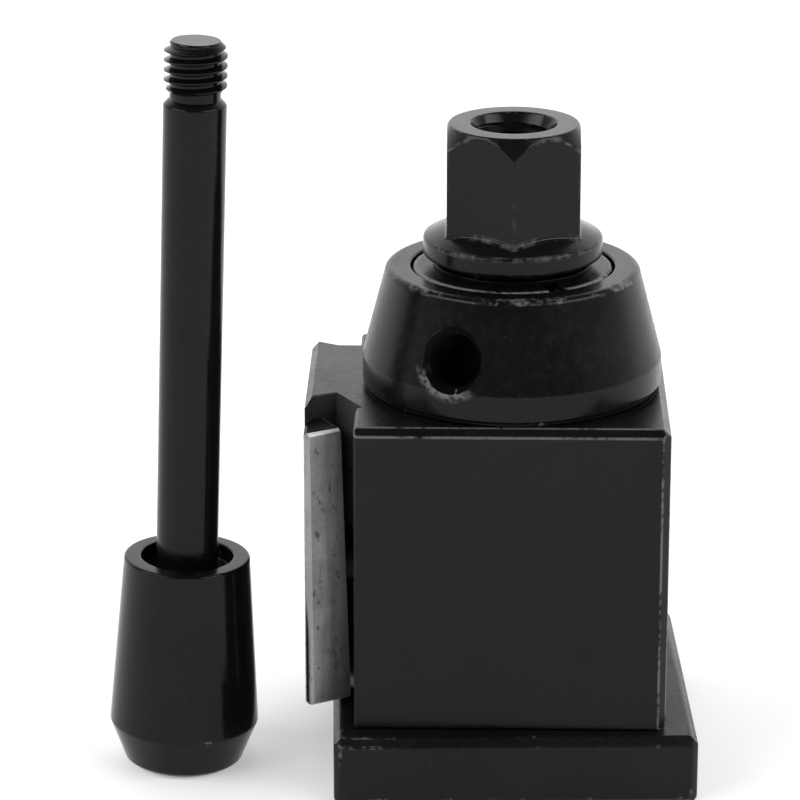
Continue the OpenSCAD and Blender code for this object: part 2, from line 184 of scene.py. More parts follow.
def thread(bm, crest, root, pitch, z0, z1, lead_in=0.0, lead_in_foot=0.0, datum=0.0):
    """Adds a solid right-hand screw thread from z0 to z1. Its rows follow the helix, so its crests are clean.

    lead_in and lead_in_foot are how far the chamfers at its top and foot cut in, and datum is a height at
    which the helix starts a turn."""
    wear = bm.verts.layers.float.get("wear") or bm.verts.layers.float.new("wear")
    first = math.floor((z0 - datum) / pitch) - 2
    last = math.ceil((z1 - datum) / pitch) + 2
    turns = [n + t for n in range(first, last) for t in THREAD_ROWS]
    grid = []
    for j in range(THREAD_ROUND):
        column = []
        for turn in turns:
            z = datum + pitch * (turn + j / THREAD_ROUND)
            z = min(max(z, z0), z1)
            r = thread_radius((z - datum) / pitch - j / THREAD_ROUND, crest, root)
            if lead_in:
                r = min(r, crest - lead_in + (z1 - z))
            if lead_in_foot:
                r = min(r, crest - lead_in_foot + (z - z0))
            a = TURN * j / THREAD_ROUND
            v = bm.verts.new((r * math.cos(a), r * math.sin(a), z))
            v[wear] = 1.0 if r > crest - 0.05 * MM else 0.0
            column.append(v)
        grid.append(column)
    for j in range(THREAD_ROUND):
        k = (j + 1) % THREAD_ROUND
        shift = len(THREAD_ROWS) if k == 0 else 0
        for i in range(len(turns) - 1 - len(THREAD_ROWS)):
            bm.faces.new([grid[j][i], grid[k][i + shift], grid[k][i + 1 + shift], grid[j][i + 1]])
    verts = [v for column in grid for v in column]
    bmesh.ops.remove_doubles(bm, verts=verts, dist=0.5e-6)
    for v in verts:
        if v.is_valid and not v.link_faces:
            bm.verts.remove(v)
    rims = [e for e in bm.edges if e.is_boundary]
    bmesh.ops.edgeloop_fill(bm, edges=rims)


def link_mesh(bm, name):
    """Makes an object of the mesh as it is and puts it in the scene."""
    mesh = bpy.data.meshes.new(name)
    bm.to_mesh(mesh)
    bm.free()
    piece = bpy.data.objects.new(name, mesh)
    bpy.context.scene.collection.objects.link(piece)
    return piece


def finish_mesh(bm, name, sharp=30):
    """Makes an object of the mesh: outward faces, smooth but for its sharp edges."""
    bmesh.ops.remove_doubles(bm, verts=bm.verts, dist=1e-7)
    bmesh.ops.recalc_face_normals(bm, faces=bm.faces)
    for f in bm.faces:
        f.smooth = True
    piece = link_mesh(bm, name)
    piece.data.set_sharp_from_angle(angle=math.radians(sharp))
    return piece


def turned(name, corners, closed=False, **kwargs):
    """A piece turned from corners (radius, height, corner radius, wear). The wear may be left out."""
    bm = bmesh.new()
    path = rounded(corners + corners[:2])[1:-1] if closed else rounded(corners)
    lathe(bm, path, closed=closed, **kwargs)
    return finish_mesh(bm, name)


def cut(piece, *cutters):
    """Cuts solids out of a piece and removes the cutters."""
    for cutter in cutters:
        modifier = piece.modifiers.new("cut", "BOOLEAN")
        modifier.operation = "DIFFERENCE"
        modifier.solver = "EXACT"
        modifier.object = cutter
    bpy.context.view_layer.update()
    cut_mesh = bpy.data.meshes.new_from_object(
        piece.evaluated_get(bpy.context.evaluated_depsgraph_get()))
    piece.modifiers.clear()
    old, piece.data = piece.data, cut_mesh
    cut_mesh.name = piece.name
    bpy.data.meshes.remove(old)
    for cutter in cutters:
        bpy.data.objects.remove(cutter)


def eased(node, name, width):
    """A copy of a flat-sided CAD node with its outer edges rounded and marked as worn.

    An edge that meets a very short one stays sharp."""
    bm = bmesh.new()
    bm.from_mesh(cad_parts[node].data)
    bmesh.ops.remove_doubles(bm, verts=bm.verts, dist=1e-6)
    bmesh.ops.dissolve_limit(bm, angle_limit=math.radians(0.3), verts=bm.verts, edges=bm.edges)
    wear = bm.loops.layers.float.new("wear")
    crowded = {v for e in bm.edges if e.calc_length() < 2 * width for v in e.verts}
    edges = [e for e in bm.edges
             if e.is_manifold and e.is_convex and e.calc_face_angle() > math.radians(20)
             and not crowded.intersection(e.verts)]
    for f in bm.faces:
        f.smooth = False
    made = bmesh.ops.bevel(bm, geom=edges, offset=width, segments=3, profile=0.5,
                           affect="EDGES", clamp_overlap=False)
    for f in made["faces"]:
        f.smooth = True
        for loop in f.loops:
            loop[wear] = 1.0
    return link_mesh(bm, name)


def mark_across(piece, attribute, normal, along):
    """Writes values that rise from 0 to 1 along a direction across the faces that look one way."""
    mesh = piece.data
    layer = mesh.attributes.new(attribute, "FLOAT", "CORNER")
    faces = [face for face in mesh.polygons if face.normal.dot(normal) > math.cos(math.radians(20))]
    reach = [mesh.vertices[v].co.dot(along) for face in faces for v in face.vertices]
    start, end = min(reach), max(reach)
    for face in faces:
        for loop in face.loop_indices:
            place = mesh.vertices[mesh.loops[loop].vertex_index].co
            layer.data[loop].value = (place.dot(along) - start) / (end - start)


def mark_faces(piece, attribute, test):
    """Writes 1 on the faces that pass a test and 0 on the others."""
    layer = piece.data.attributes.new(attribute, "FLOAT", "FACE")
    for face, item in zip(piece.data.polygons, layer.data):
        item.value = 1.0 if test(face) else 0.0


def install(piece, body, material, node):
    """Gives a piece its material and body, and lets it stand for a CAD node."""
    piece.data.materials.clear()
    piece.data.materials.append(material)
    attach(piece, body)
    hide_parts(node)


# ---------------------------------------------------------------- materials

class Graph:
    """A small wrapper that adds and links shader nodes of a material or a world."""

    def __init__(self, owner, coordinates="Object"):
        owner.use_nodes = True
        self.owner = owner
        self.tree = owner.node_tree
        self.shader = self.tree.nodes.get("Principled BSDF")
        self.place = self.add("ShaderNodeTexCoord").outputs[coordinates]

    def add(self, kind, **values):
        node = self.tree.nodes.new(kind)
        for key, value in values.items():
            setattr(node, key, value)
        return node

    def link(self, source, socket):
        self.tree.links.new(source, socket)

    def split(self, vector):
        """The X, Y and Z of a vector."""
        node = self.add("ShaderNodeSeparateXYZ")
        self.link(vector, node.inputs["Vector"])
        return [node.outputs[key] for key in "XYZ"]

    def stretched(self, scale):
        """Object coordinates times a scale, for grain that runs one way."""
        mapping = self.add("ShaderNodeMapping")
        mapping.inputs["Scale"].default_value = scale
        self.link(self.place, mapping.inputs["Vector"])
        return mapping.outputs["Vector"]

    def carried(self, matrix):
        """Object coordinates turned and moved into another frame."""
        mapping = self.add("ShaderNodeMapping")
        mapping.inputs["Location"].default_value = matrix.to_translation()
        mapping.inputs["Rotation"].default_value = matrix.to_euler("XYZ")
        self.link(self.place, mapping.inputs["Vector"])
        return mapping.outputs["Vector"]

    def length(self, x, y):
        return self.math("SQRT", self.math("ADD", self.math("MULTIPLY", x, x), self.math("MULTIPLY", y, y)))

    def rings(self):
        """Coordinates that change with height and radius only, for turning marks."""
        x, y, z = self.split(self.place)
        join = self.add("ShaderNodeCombineXYZ")
        self.link(self.length(x, y), join.inputs["X"])
        self.link(z, join.inputs["Z"])
        return join.outputs["Vector"]

    def noise(self, size, detail, rough=0.55, vector=None):
        """Noise whose features are about size metres across."""
        node = self.add("ShaderNodeTexNoise")
        node.inputs["Scale"].default_value = 1 / size
        node.inputs["Detail"].default_value = detail
        node.inputs["Roughness"].default_value = rough
        self.link(vector or self.place, node.inputs["Vector"])
        return node.outputs["Fac"]

    def math(self, operation, a, b=0.0, clamp=False):
        node = self.add("ShaderNodeMath", operation=operation, use_clamp=clamp)
        for socket, value in zip(node.inputs, (a, b)):
            if isinstance(value, (int, float)):
                socket.default_value = value
            else:
                self.link(value, socket)
        return node.outputs[0]

    def spread(self, value, low, high, to_low, to_high):
        """Maps a value's range smoothly onto another."""
        node = self.add("ShaderNodeMapRange", interpolation_type="SMOOTHSTEP")
        for key, number in zip(("From Min", "From Max", "To Min", "To Max"), (low, high, to_low, to_high)):
            node.inputs[key].default_value = number
        self.link(value, node.inputs["Value"])
        return node.outputs["Result"]

    def mix(self, share, a, b):
        """Mixes two colours, each a tuple or a socket."""
        node = self.add("ShaderNodeMix", data_type="RGBA")
        self.link(share, node.inputs["Factor"])
        for key, value in (("A", a), ("B", b)):
            socket = next(s for s in node.inputs if s.name == key and s.type == "RGBA")
            if isinstance(value, tuple):
                socket.default_value = (*value, 1.0)
            else:
                self.link(value, socket)
        return next(s for s in node.outputs if s.type == "RGBA")

    def bump(self, height, distance, strength, base=None):
        node = self.add("ShaderNodeBump")
        node.inputs["Strength"].default_value = strength
        node.inputs["Distance"].default_value = distance
        self.link(height, node.inputs["Height"])
        if base is not None:
            self.link(base, node.inputs["Normal"])
        return node.outputs["Normal"]

    def attribute(self, name):
        return self.add("ShaderNodeAttribute", attribute_name=name).outputs["Fac"]


def grey(tone, warm=1.0):
    return tone * warm, tone, tone / warm


def black_oxide(name, tone, rough, wear, specks, spread=0.06, grain=None, grain_depth=0.4, worn_tone=0.2,
                speck_size=0.5 * MM, shine=0.18, painted_light_faces=None, painted_shade_faces=None, rubbed=None):
    """Blackened steel: a dark film with a soft sheen, fine grain, pale specks and rubbed edges.

    wear is how much of the edges is rubbed, from 0 to 1, and worn_tone the tone of what is bare. matte and
    deep name face attributes. The faces that matte names, the groove's rough unground walls, are painted a
    lighter grey: painted light that lifts them out of the groove's shade. The faces that deep names, in a
    hole,
    lose their sheen and are never rubbed: painted shade. rubbed is the frame of the handle's hole, whose
    countersink is rubbed bare at its lower left."""
    g = Graph(bpy.data.materials.new(name))
    cloud = g.noise(14 * MM, 4.0)
    mottle = g.noise(1.1 * MM, 4.0, 0.6)
    fine = g.noise(0.16 * MM, 3.0, 0.6)
    film = g.mix(g.spread(cloud, 0.3, 0.7, 0.0, 1.0), grey(tone * 0.8, 0.98), grey(tone * 1.25, 0.98))
    film = g.mix(g.spread(mottle, 0.45, 0.8, 0.0, 0.35), film, grey(tone * 2.2))
    chip = g.math("MULTIPLY", g.spread(g.noise(speck_size, 2.0), 0.68, 0.74, 0.0, 1.0), specks)
    # Rubbed edges come in long stretches, which fine noise breaks up.
    stretches = g.math("MULTIPLY", g.math("SUBTRACT", g.noise(7 * MM, 2.0), 0.5), 1.2)
    rub = g.math("ADD", g.noise(0.9 * MM, 3.0, 0.5), stretches)
    rub = g.spread(rub, 0.75 - 0.6 * wear, 1.0 - 0.45 * wear, 0.0, 1.0)
    bare = g.math("MAXIMUM", g.math("MULTIPLY", g.attribute("wear"), rub, clamp=True), chip, clamp=True)
    if rubbed:
        down, right, out = g.split(g.carried(rubbed.inverted()))
        reach = g.length(down, right)
        # A crescent round the hole's lower left, which stops at the hole's wall and fades outwards.
        lower_left = g.math("SUBTRACT", down, g.math("MULTIPLY", right, 0.3))
        patch = g.spread(lower_left, 2.3 * MM, 3.7 * MM, 0.0, 1.0)
        patch = g.math("MULTIPLY", patch, g.spread(reach, 3.4 * MM, 3.7 * MM, 0.0, 1.0))
        patch = g.math("MULTIPLY", patch, g.spread(reach, 4.5 * MM, 5.6 * MM, 1.0, 0.0))
        patch = g.math("MULTIPLY", patch, g.spread(out, -1.5 * MM, -1.2 * MM, 0.0, 1.0))
        spots = g.spread(g.noise(0.7 * MM, 3.0, 0.6), 0.38, 0.60, 0.1, 0.9)
        bare = g.math("MAXIMUM", bare, g.math("MULTIPLY", patch, spots))
    if painted_shade_faces:
        bare = g.math("MULTIPLY", bare, g.math("SUBTRACT", 1.0, g.attribute(painted_shade_faces)))
    # Painted light: the groove's walls get a lighter grey than the film, which lifts them out of the groove's
    # shade.
    if painted_light_faces:
        scale = g.mix(g.spread(cloud, 0.3, 0.7, 0.0, 1.0), grey(0.02), grey(0.06))
        film = g.mix(g.attribute(painted_light_faces), film, scale)
    g.link(g.mix(bare, film, grey(worn_tone)), g.shader.inputs["Base Color"])
    g.link(g.math("MULTIPLY", bare, 0.2), g.shader.inputs["Metallic"])
    g.shader.inputs["Specular IOR Level"].default_value = shine
    # Painted shade: the faces in a hole lose their sheen, so the hole reads dark.
    if painted_shade_faces:
        g.link(g.spread(g.attribute(painted_shade_faces), 0.0, 1.0, shine, 0.02), g.shader.inputs["Specular IOR Level"])
    varied = g.spread(mottle, 0.2, 0.8, rough - spread, rough + spread)
    varied = g.math("ADD", varied, g.spread(cloud, 0.3, 0.7, -0.04, 0.04))
    g.link(g.math("ADD", varied, g.math("MULTIPLY", bare, 0.15)), g.shader.inputs["Roughness"])
    normal = g.bump(fine, 0.004 * MM, 0.7)
    normal = g.bump(mottle, 0.006 * MM, 0.6, normal)
    if grain == "turned":
        normal = g.bump(g.noise(0.22 * MM, 2.0, 0.6, g.rings()), 0.004 * MM, grain_depth, normal)
    elif grain:
        normal = g.bump(g.noise(0.2 * MM, 3.0, 0.6, g.stretched(grain)), 0.004 * MM, grain_depth, normal)
    g.link(normal, g.shader.inputs["Normal"])
    return g.owner


def bare_steel(name, tone, rough, grain, specks=0.7, metallic=1.0, part_black=False):
    """Ground or turned steel with dark pits, faint stains and fine directional lines.

    With part_black, only the faces that are marked as ground, the marked tip's upper half and the worn
    edges are bare, the marked chamfer is painted near white, a painted highlight, and the rest is blackened.
    The ground faces are darkened towards their inner edge, in streaks: painted shade next to the groove."""
    g = Graph(bpy.data.materials.new(name))
    cloud = g.noise(6 * MM, 4.0)
    mottle = g.noise(0.9 * MM, 5.0, 0.65)
    pits = g.noise(0.8 * MM, 2.0, 0.5, g.stretched((1.0, 1.0, 0.5)))
    pits = g.math("MULTIPLY", g.spread(pits, 0.62, 0.70, 0.0, 1.0), specks)
    film = g.mix(g.spread(cloud, 0.3, 0.7, 0.0, 1.0), grey(tone * 0.7), grey(tone * 1.15))
    film = g.mix(g.spread(mottle, 0.35, 0.75, 0.0, 0.5), film, grey(tone * 0.6))
    film = g.mix(pits, film, grey(0.03))
    roughness = g.spread(mottle, 0.2, 0.8, rough - 0.06, rough + 0.12)
    g.shader.inputs["Metallic"].default_value = metallic
    if part_black:
        _, _, height = g.split(g.place)
        upper = g.spread(height, 18 * MM, 34 * MM, 0.0, 1.0)
        tip = g.spread(g.math("ADD", g.attribute("tip"), upper), 0.3, 0.7, 0.0, 1.0)
        tip = g.math("MULTIPLY", tip, g.spread(g.attribute("tip"), 0.0, 0.02, 0.0, 1.0))
        rub = g.spread(g.noise(0.7 * MM, 5.0, 0.7), 0.30, 0.55, 0.0, 1.0)
        edge = g.math("MULTIPLY", g.attribute("wear"), rub)
        streaks = g.noise(1.6 * MM, 2.0, 0.5, g.stretched((1.0, 1.0, 0.08)))
        film = g.mix(g.spread(streaks, 0.35, 0.65, 0.0, 0.45), film, grey(tone * 0.5))
        # Painted shade: the ground faces darken towards their inner edge, next to the groove, broken up by
        # the streaks.
        inner_shade = g.math("ADD", g.attribute("inner"), g.math("MULTIPLY", streaks, 0.5))
        film = g.mix(g.spread(inner_shade, 0.35, 1.2, 0.0, 0.75), film, grey(tone * 0.1))
        film = g.mix(g.math("MULTIPLY", tip, 0.7), film, grey(tone * 0.35))
        film = g.mix(edge, film, grey(tone * 0.8))
        # Painted highlight: the marked chamfer is painted near white.
        film = g.mix(g.attribute("chamfer"), film, grey(0.95))
        bare = g.math("MAXIMUM", g.math("MAXIMUM", g.attribute("ground"), edge), tip)
        film = g.mix(bare, grey(0.006), film)
        g.link(g.math("MULTIPLY", bare, metallic), g.shader.inputs["Metallic"])
        g.link(g.spread(bare, 0.0, 1.0, 0.1, 0.4), g.shader.inputs["Specular IOR Level"])
    g.link(film, g.shader.inputs["Base Color"])
    g.link(roughness, g.shader.inputs["Roughness"])
    normal = g.bump(mottle, 0.006 * MM, 0.5)
    if grain == "turned":
        normal = g.bump(g.noise(0.2 * MM, 2.0, 0.6, g.rings()), 0.005 * MM, 0.6, normal)
    else:
        normal = g.bump(g.noise(0.18 * MM, 3.0, 0.6, g.stretched(grain)), 0.006 * MM, 0.6, normal)
    g.link(normal, g.shader.inputs["Normal"])
    return g.owner


def sintered_bronze(name):
    """Porous bronze with an oily sheen."""
    g = Graph(bpy.data.materials.new(name))
    pores = g.noise(0.25 * MM, 4.0, 0.7)
    colour = g.mix(g.spread(pores, 0.3, 0.7, 0.0, 1.0), (0.20, 0.11, 0.045), (0.55, 0.36, 0.17))
    g.link(colour, g.shader.inputs["Base Color"])
    g.shader.inputs["Metallic"].default_value = 1.0
    g.link(g.spread(pores, 0.2, 0.8, 0.3, 0.5), g.shader.inputs["Roughness"])
    g.link(g.bump(pores, 0.01 * MM, 0.6), g.shader.inputs["Normal"])
    return g.owner


ALONG_X = (0.04, 1.0, 1.0)      # grain that runs left to right
ALONG_Z = (1.0, 1.0, 0.04)      # grain that runs up and down

block_black = black_oxide("block_black", tone=0.005, rough=0.27, grain=ALONG_Z, wear=0.9, worn_tone=0.12,
                          specks=0.04, painted_light_faces="groove")
plate_black = black_oxide("plate_black", tone=0.006, rough=0.32, grain=ALONG_X, wear=0.25, worn_tone=0.12,
                          specks=0.08)
hub_black = black_oxide("hub_black", tone=0.004, rough=0.24, grain="turned", wear=0.45, worn_tone=0.16,
                        specks=0.05, painted_shade_faces="hole", rubbed=tap_place)
nut_black = black_oxide("nut_black", tone=0.005, rough=0.18, wear=0.5, worn_tone=0.13, specks=0.08,
                        speck_size=0.35 * MM, painted_shade_faces="hole")
ring_black = black_oxide("ring_black", tone=0.004, rough=0.22, grain="turned", grain_depth=0.2, wear=0.8,
                         worn_tone=0.2, specks=0.0, shine=0.12)
# The core and the washers are darker and duller than the other blackened parts: painted shade, for they sit
# in shade under the nut's flange and the hub.
core_black = black_oxide("core_black", tone=0.003, rough=0.22, grain="turned", grain_depth=0.2, wear=0.0,
                         specks=0.0, shine=0.08)
handle_black = black_oxide("handle_black", tone=0.004, rough=0.16, spread=0.03, grain="turned",
                           grain_depth=0.25, wear=0.1, specks=0.04)
knob_black = black_oxide("knob_black", tone=0.004, rough=0.16, spread=0.03, grain="turned",
                         grain_depth=0.25, wear=0.0, specks=0.04)
ground_steel = bare_steel("ground_steel", tone=0.7, rough=0.42, grain=ALONG_Z, metallic=0.45, part_black=True)
plain_steel = bare_steel("plain_steel", tone=0.45, rough=0.32, grain="turned", specks=0.2)
pin_steel = bare_steel("pin_steel", tone=0.06, rough=0.5, grain="turned", specks=0.2, metallic=0.3)
bronze = sintered_bronze("bronze")


# ---------------------------------------------------------------- flat-sided pieces

def make_plate():
    install(eased("t_nut_plate", "base_plate", 0.25 * MM), "base", plate_black, "t_nut_plate")


# Where the left gib's groove is, in a frame that is turned with the dovetail's flank.
flank_turn = math.radians(30)
groove_front, groove_rear = -1 * MM, 8.5 * MM
groove_inner = -21 * MM


def in_groove(face):
    """True for a wall of either gib's groove: the back dovetail is the left one turned a quarter turn."""
    x, y, _ = face.center
    for px, py in ((x, y), (-y, x)):
        along = px * math.cos(flank_turn) + py * math.sin(flank_turn)
        across = py * math.cos(flank_turn) - px * math.sin(flank_turn)
        if along < groove_inner and groove_front < across < groove_rear and abs(face.normal.z) < 0.5:
            return True
    return False


def make_block():
    block = eased("body_block", "dovetail_block", 0.18 * MM)
    # The groove's walls are marked for a lighter grey, painted light that lifts them out of the groove's
    # shade.
    mark_faces(block, "groove", in_groove)
    install(block, "post", block_black, "body_block")


def heading(degrees):
    """A level direction, turned from +X."""
    a = math.radians(degrees)
    return Vector((math.cos(a), math.sin(a), 0.0))


def make_gibs():
    """The gibs are black but for their working flanks and part of their tips, which are ground bare."""
    for side, turn in (("left", 0.0), ("back", -90.0)):
        gib = eased(f"gib_{side}", f"wedge_{side}", 0.15 * MM)
        flank = heading(turn - 60)
        mark_faces(gib, "ground", lambda face: face.normal.dot(flank) > math.cos(math.radians(50)))
        # The chamfer is marked for a painted highlight.
        mark_faces(gib, "chamfer", lambda face: face.normal.dot(flank) > 0.5 and face.normal.z > 0.4)
        mark_across(gib, "tip", heading(turn - 120), heading(turn - 30))
        # The inner mark rises towards the edge by the groove, for painted shade.
        mark_across(gib, "inner", flank, heading(turn + 30))
        install(gib, f"{side}_wedge", ground_steel, f"gib_{side}")


# ---------------------------------------------------------------- hub, ring and core

def make_hub():
    """The conical hub, with its recess, handle hole, thread and countersink."""
    band_top = hub_foot + hub_band
    recess_r = 13.15 * MM
    recess_floor = low("retaining_shim").z - GAP
    bore_r = core_r + GAP
    spigot = low("hub_cap").z
    spigot_r = radius_of("cam_sleeve")
    # Rows of points on the cone keep its shading even round the hole.
    rows = 24
    band_edge, top_edge = Vector((hub_r, band_top)), Vector((hub_cone_top_r, hub_top))
    cone = [(*band_edge.lerp(top_edge, k / rows), 0) for k in range(2, rows - 2)]
    hub = turned("hub", [
        (bore_r, spigot, 0), (spigot_r, spigot, 0), (spigot_r, hub_foot, 0),
        (hub_r, hub_foot, 0.35 * MM, 0.0), (hub_r, band_top, 0.5 * MM, 0.1), *cone,
        (hub_cone_top_r, hub_top, 1.0 * MM, 0.8), (recess_r, hub_top, 0.25 * MM, 0.1),
        (recess_r, recess_floor, 0), (bore_r, recess_floor, 0)], closed=True, segments=288)
    bm = bmesh.new()
    past = 3 * MM
    thread(bm, tap_r, tap_minor_r, m8_pitch, -tap_deep, past)
    tap = finish_mesh(bm, "tap")
    # The countersink's cone, at 45 degrees: its foot is inside the hole and its top outside the hub.
    sink_foot, sink_top, sink_foot_r = -1.0 * MM, 2.0 * MM, 3.35 * MM
    sink = turned("sink", [(0, sink_foot, 0), (sink_foot_r, sink_foot, 0),
                           (sink_foot_r + sink_top - sink_foot, sink_top, 0), (0, sink_top, 0)], segments=96)
    tap.matrix_world = tap_place
    sink.matrix_world = tap_place
    cut(hub, tap, sink)
    hub.data.set_sharp_from_angle(angle=math.radians(30))
    to_tap = tap_place.inverted()

    def in_hole(face):
        """True for a face of the tapped hole, below its countersink."""
        x, y, z = to_tap @ face.center
        return math.hypot(x, y) < tap_r + 0.03 * MM and -tap_deep - 0.6 * MM < z < -0.3 * MM

    # The hole's faces are marked for painted shade: their sheen is turned down.
    mark_faces(hub, "hole", in_hole)
    install(hub, "hub", hub_black, "hub_cap")


def make_ring():
    """The snap ring, with its gap at the front right."""
    gap = math.radians(12)
    gap_at = math.radians(-63)
    outer, inner = radius_of("snap_ring"), 9.5 * MM
    ring = turned("split_ring", [
        (inner, ring_foot, 0.2 * MM), (outer, ring_foot, 0.2 * MM), (outer, ring_top, 0.45 * MM),
        (inner, ring_top, 0.2 * MM, 0.0)], closed=True, start=gap_at + gap / 2, sweep=TURN - gap)
    install(ring, "post", ring_black, "snap_ring")


def make_core():
    """The fixed core's sleeve: a foot under the cam, the ring's groove and a lip above it."""
    foot = low("core_sleeve").z
    flange_foot = 15.075 * MM
    flange_top = low("cam_thrust_washer").z
    flange = radius_of("cam_sleeve")
    bore, groove_r = 5.45 * MM, 9.4 * MM
    groove_foot, groove_top = ring_foot - GAP, ring_top + GAP
    core = turned("core", [
        (bore, foot, 0), (core_r, foot, 0), (core_r, flange_foot, 0), (flange, flange_foot, 0.3 * MM),
        (flange, flange_top, 0), (core_r, flange_top, 0), (core_r, groove_foot, 0),
        (groove_r, groove_foot, 0), (groove_r, groove_top, 0), (core_r, groove_top, 0),
        (core_r, core_top, 0.2 * MM, 0.0), (bore, core_top, 0)], closed=True)
    install(core, "post", core_black, "core_sleeve")


def make_washers():
    """The thin washer under the hub and the one under the nut."""
    for node, inner, body, name in (("hub_washer", 15.55 * MM, "post", "thrust_ring"),
                                    ("nut_washer", 5.35 * MM, "washer", "flat_washer")):
        z0, z1, r = low(node).z, high(node).z, radius_of(node)
        ease = 0.35 * (z1 - z0)
        washer = turned(name, [(inner, z0, 0), (r, z0, ease), (r, z1, ease), (inner, z1, 0)], closed=True)
        install(washer, body, core_black, node)


# ---------------------------------------------------------------- stud and nut

m10_pitch = 1.5 * MM
stud_root = stud_r - 0.92 * MM
stud_thread_foot = 50 * MM


def make_stud():
    """The stud: a foot in the plate, a slimmer shank and a thread for the nut."""
    bm = bmesh.new()
    lathe(bm, rounded([(0, 0, 0), (stud_r, 0, 0.3 * MM), (stud_r, plate_top - 0.5 * MM, 0),
                       (stud_root, plate_top, 0), (stud_root, stud_thread_foot, 0),
                       (0, stud_thread_foot, 0)]), segments=96)
    thread(bm, stud_r - GAP, stud_root, m10_pitch, stud_thread_foot, stud_top, lead_in=0.8 * MM)
    install(finish_mesh(bm, "stud"), "base", plain_steel, "clamp_stud")


def hexagon(flats, fillet, support=0.3 * MM, across=12, arc_steps=4, worn=0.15):
    """Points (x, y, wear) round a hexagon with rounded corners, one of which points to +Y."""
    reach = flats / 2 * math.tan(math.pi / 6) - fillet * math.tan(math.pi / 6)
    spine = (flats / 2 - fillet) / math.cos(math.pi / 6)
    shares = [-1.0, support / reach - 1.0]
    shares += [-1.0 + 2.0 * i / across for i in range(1, across)]
    shares += [1.0 - support / reach, 1.0]
    points = []
    for k in range(6):
        turn = math.pi / 3 * k
        out, along = Vector((math.cos(turn), math.sin(turn))), Vector((-math.sin(turn), math.cos(turn)))
        for share in shares:
            place = out * flats / 2 + along * reach * share
            points.append((*place, worn if abs(share) == 1.0 else 0.0))
        corner = turn + math.pi / 6
        for i in range(1, arc_steps):
            a = turn + math.pi / 3 * i / arc_steps
            points.append((spine * math.cos(corner) + fillet * math.cos(a),
                           spine * math.sin(corner) + fillet * math.sin(a), worn))
    return points


def make_nut():
    """A hex flange nut: a flange with a sloping top, a chamfered hexagon and a threaded bore."""
    flats = 17.0 * MM
    rim = nut_foot + 2.35 * MM
    slope = math.tan(math.radians(26))
    steep = math.tan(math.radians(60))
    top_r, mouth_r, throat_r = 8.3 * MM, 5.62 * MM, 4.12 * MM
    throat = (mouth_r - throat_r) * steep
    bm = bmesh.new()
    wear = bm.verts.layers.float.new("wear")
    columns = []
    for x, y, worn in hexagon(flats, 0.35 * MM):
        r = math.hypot(x, y)
        foot = rim + (flange_r - r) * slope
        shoulder = nut_top - (r - top_r) * steep
        path = rounded([
            (throat_r, nut_foot + throat, 0), (mouth_r, nut_foot, 0.2 * MM),
            (flange_r, nut_foot, 0.35 * MM, 0.1), (flange_r, rim, 0.45 * MM, 0.5),
            (r, foot, 0.6 * MM, 0.6), (r, shoulder, 0.3 * MM, 0.8), (top_r, nut_top, 0.25 * MM, 0.6),
            (mouth_r, nut_top, 0.25 * MM, 0.5), (throat_r, nut_top - throat, 0)])
        column = []
        for radius, z, w in path:
            v = bm.verts.new((radius * x / r, radius * y / r, z))
            v[wear] = max(w, worn) if abs(radius - r) < 1e-6 else w
            column.append(v)
        columns.append(column)
    for left, right in zip(columns, columns[1:] + columns[:1]):
        for a, b, c, d in zip(left, right, right[1:], left[1:]):
            bm.faces.new((a, b, c, d))
    bm.faces.new([column[-1] for column in columns])
    bm.faces.new([column[0] for column in reversed(columns)])
    nut = finish_mesh(bm, "nut", sharp=28)
    bm = bmesh.new()
    past = 1 * MM
    thread(bm, stud_r + GAP, stud_root + 0.12 * MM, m10_pitch, nut_foot - past, nut_top + past)
    cut(nut, finish_mesh(bm, "bore"))
    nut.data.set_sharp_from_angle(angle=math.radians(28))

    def in_bore(face):
        """True for a face in the bore, at least one pitch below the nut's top."""
        x, y, z = face.center
        return math.hypot(x, y) < stud_r + 0.02 * MM and z < nut_top - m10_pitch

    # The bore's faces are marked for painted shade: their sheen is turned down.
    mark_faces(nut, "hole", in_bore)
    install(nut, "nut", nut_black, "clamp_nut")


# ---------------------------------------------------------------- handle

handle_lean = math.radians(1.9)
knob_foot_r = 6.9 * MM
handle_foot = Vector((-42.9 * MM, -8.8 * MM, knob_foot_r * math.sin(handle_lean)))
handle_place = Matrix.Translation(handle_foot) @ Matrix.Rotation(handle_lean, 4, "Y")
handle_h = 96.8 * MM
knob_h = 28.4 * MM
rod_r = 4.0 * MM
rod_seat = knob_h - 3.7 * MM
tenon_r = 3.2 * MM
tenon_foot = 8 * MM
press = 0.02 * MM                   # gap between the rod and the knob that is pressed on it


def make_rod():
    """The handle's rod: a tenon in the knob, a plain shank, a neck and an M8 thread."""
    neck_r = 3.22 * MM
    thread_foot = handle_h - 6.5 * MM
    shoulder = thread_foot - 1.0 * MM
    chamfer = 0.65 * MM
    bm = bmesh.new()
    lathe(bm, rounded([
        (0, tenon_foot, 0), (tenon_r, tenon_foot, 0), (tenon_r, rod_seat, 0), (rod_r, rod_seat, 0),
        (rod_r, shoulder - chamfer, 0.4 * MM), (rod_r - chamfer, shoulder, 0),
        (neck_r, shoulder + 0.05 * MM, 0), (neck_r, thread_foot, 0), (0, thread_foot, 0)]), segments=128)
    thread(bm, rod_r, neck_r, m8_pitch, thread_foot, handle_h, lead_in=0.95 * MM, lead_in_foot=0.6 * MM,
           datum=-0.18 * MM)
    rod = finish_mesh(bm, "rod")
    rod.matrix_world = handle_place
    install(rod, "handle", handle_black, "handle_rod")


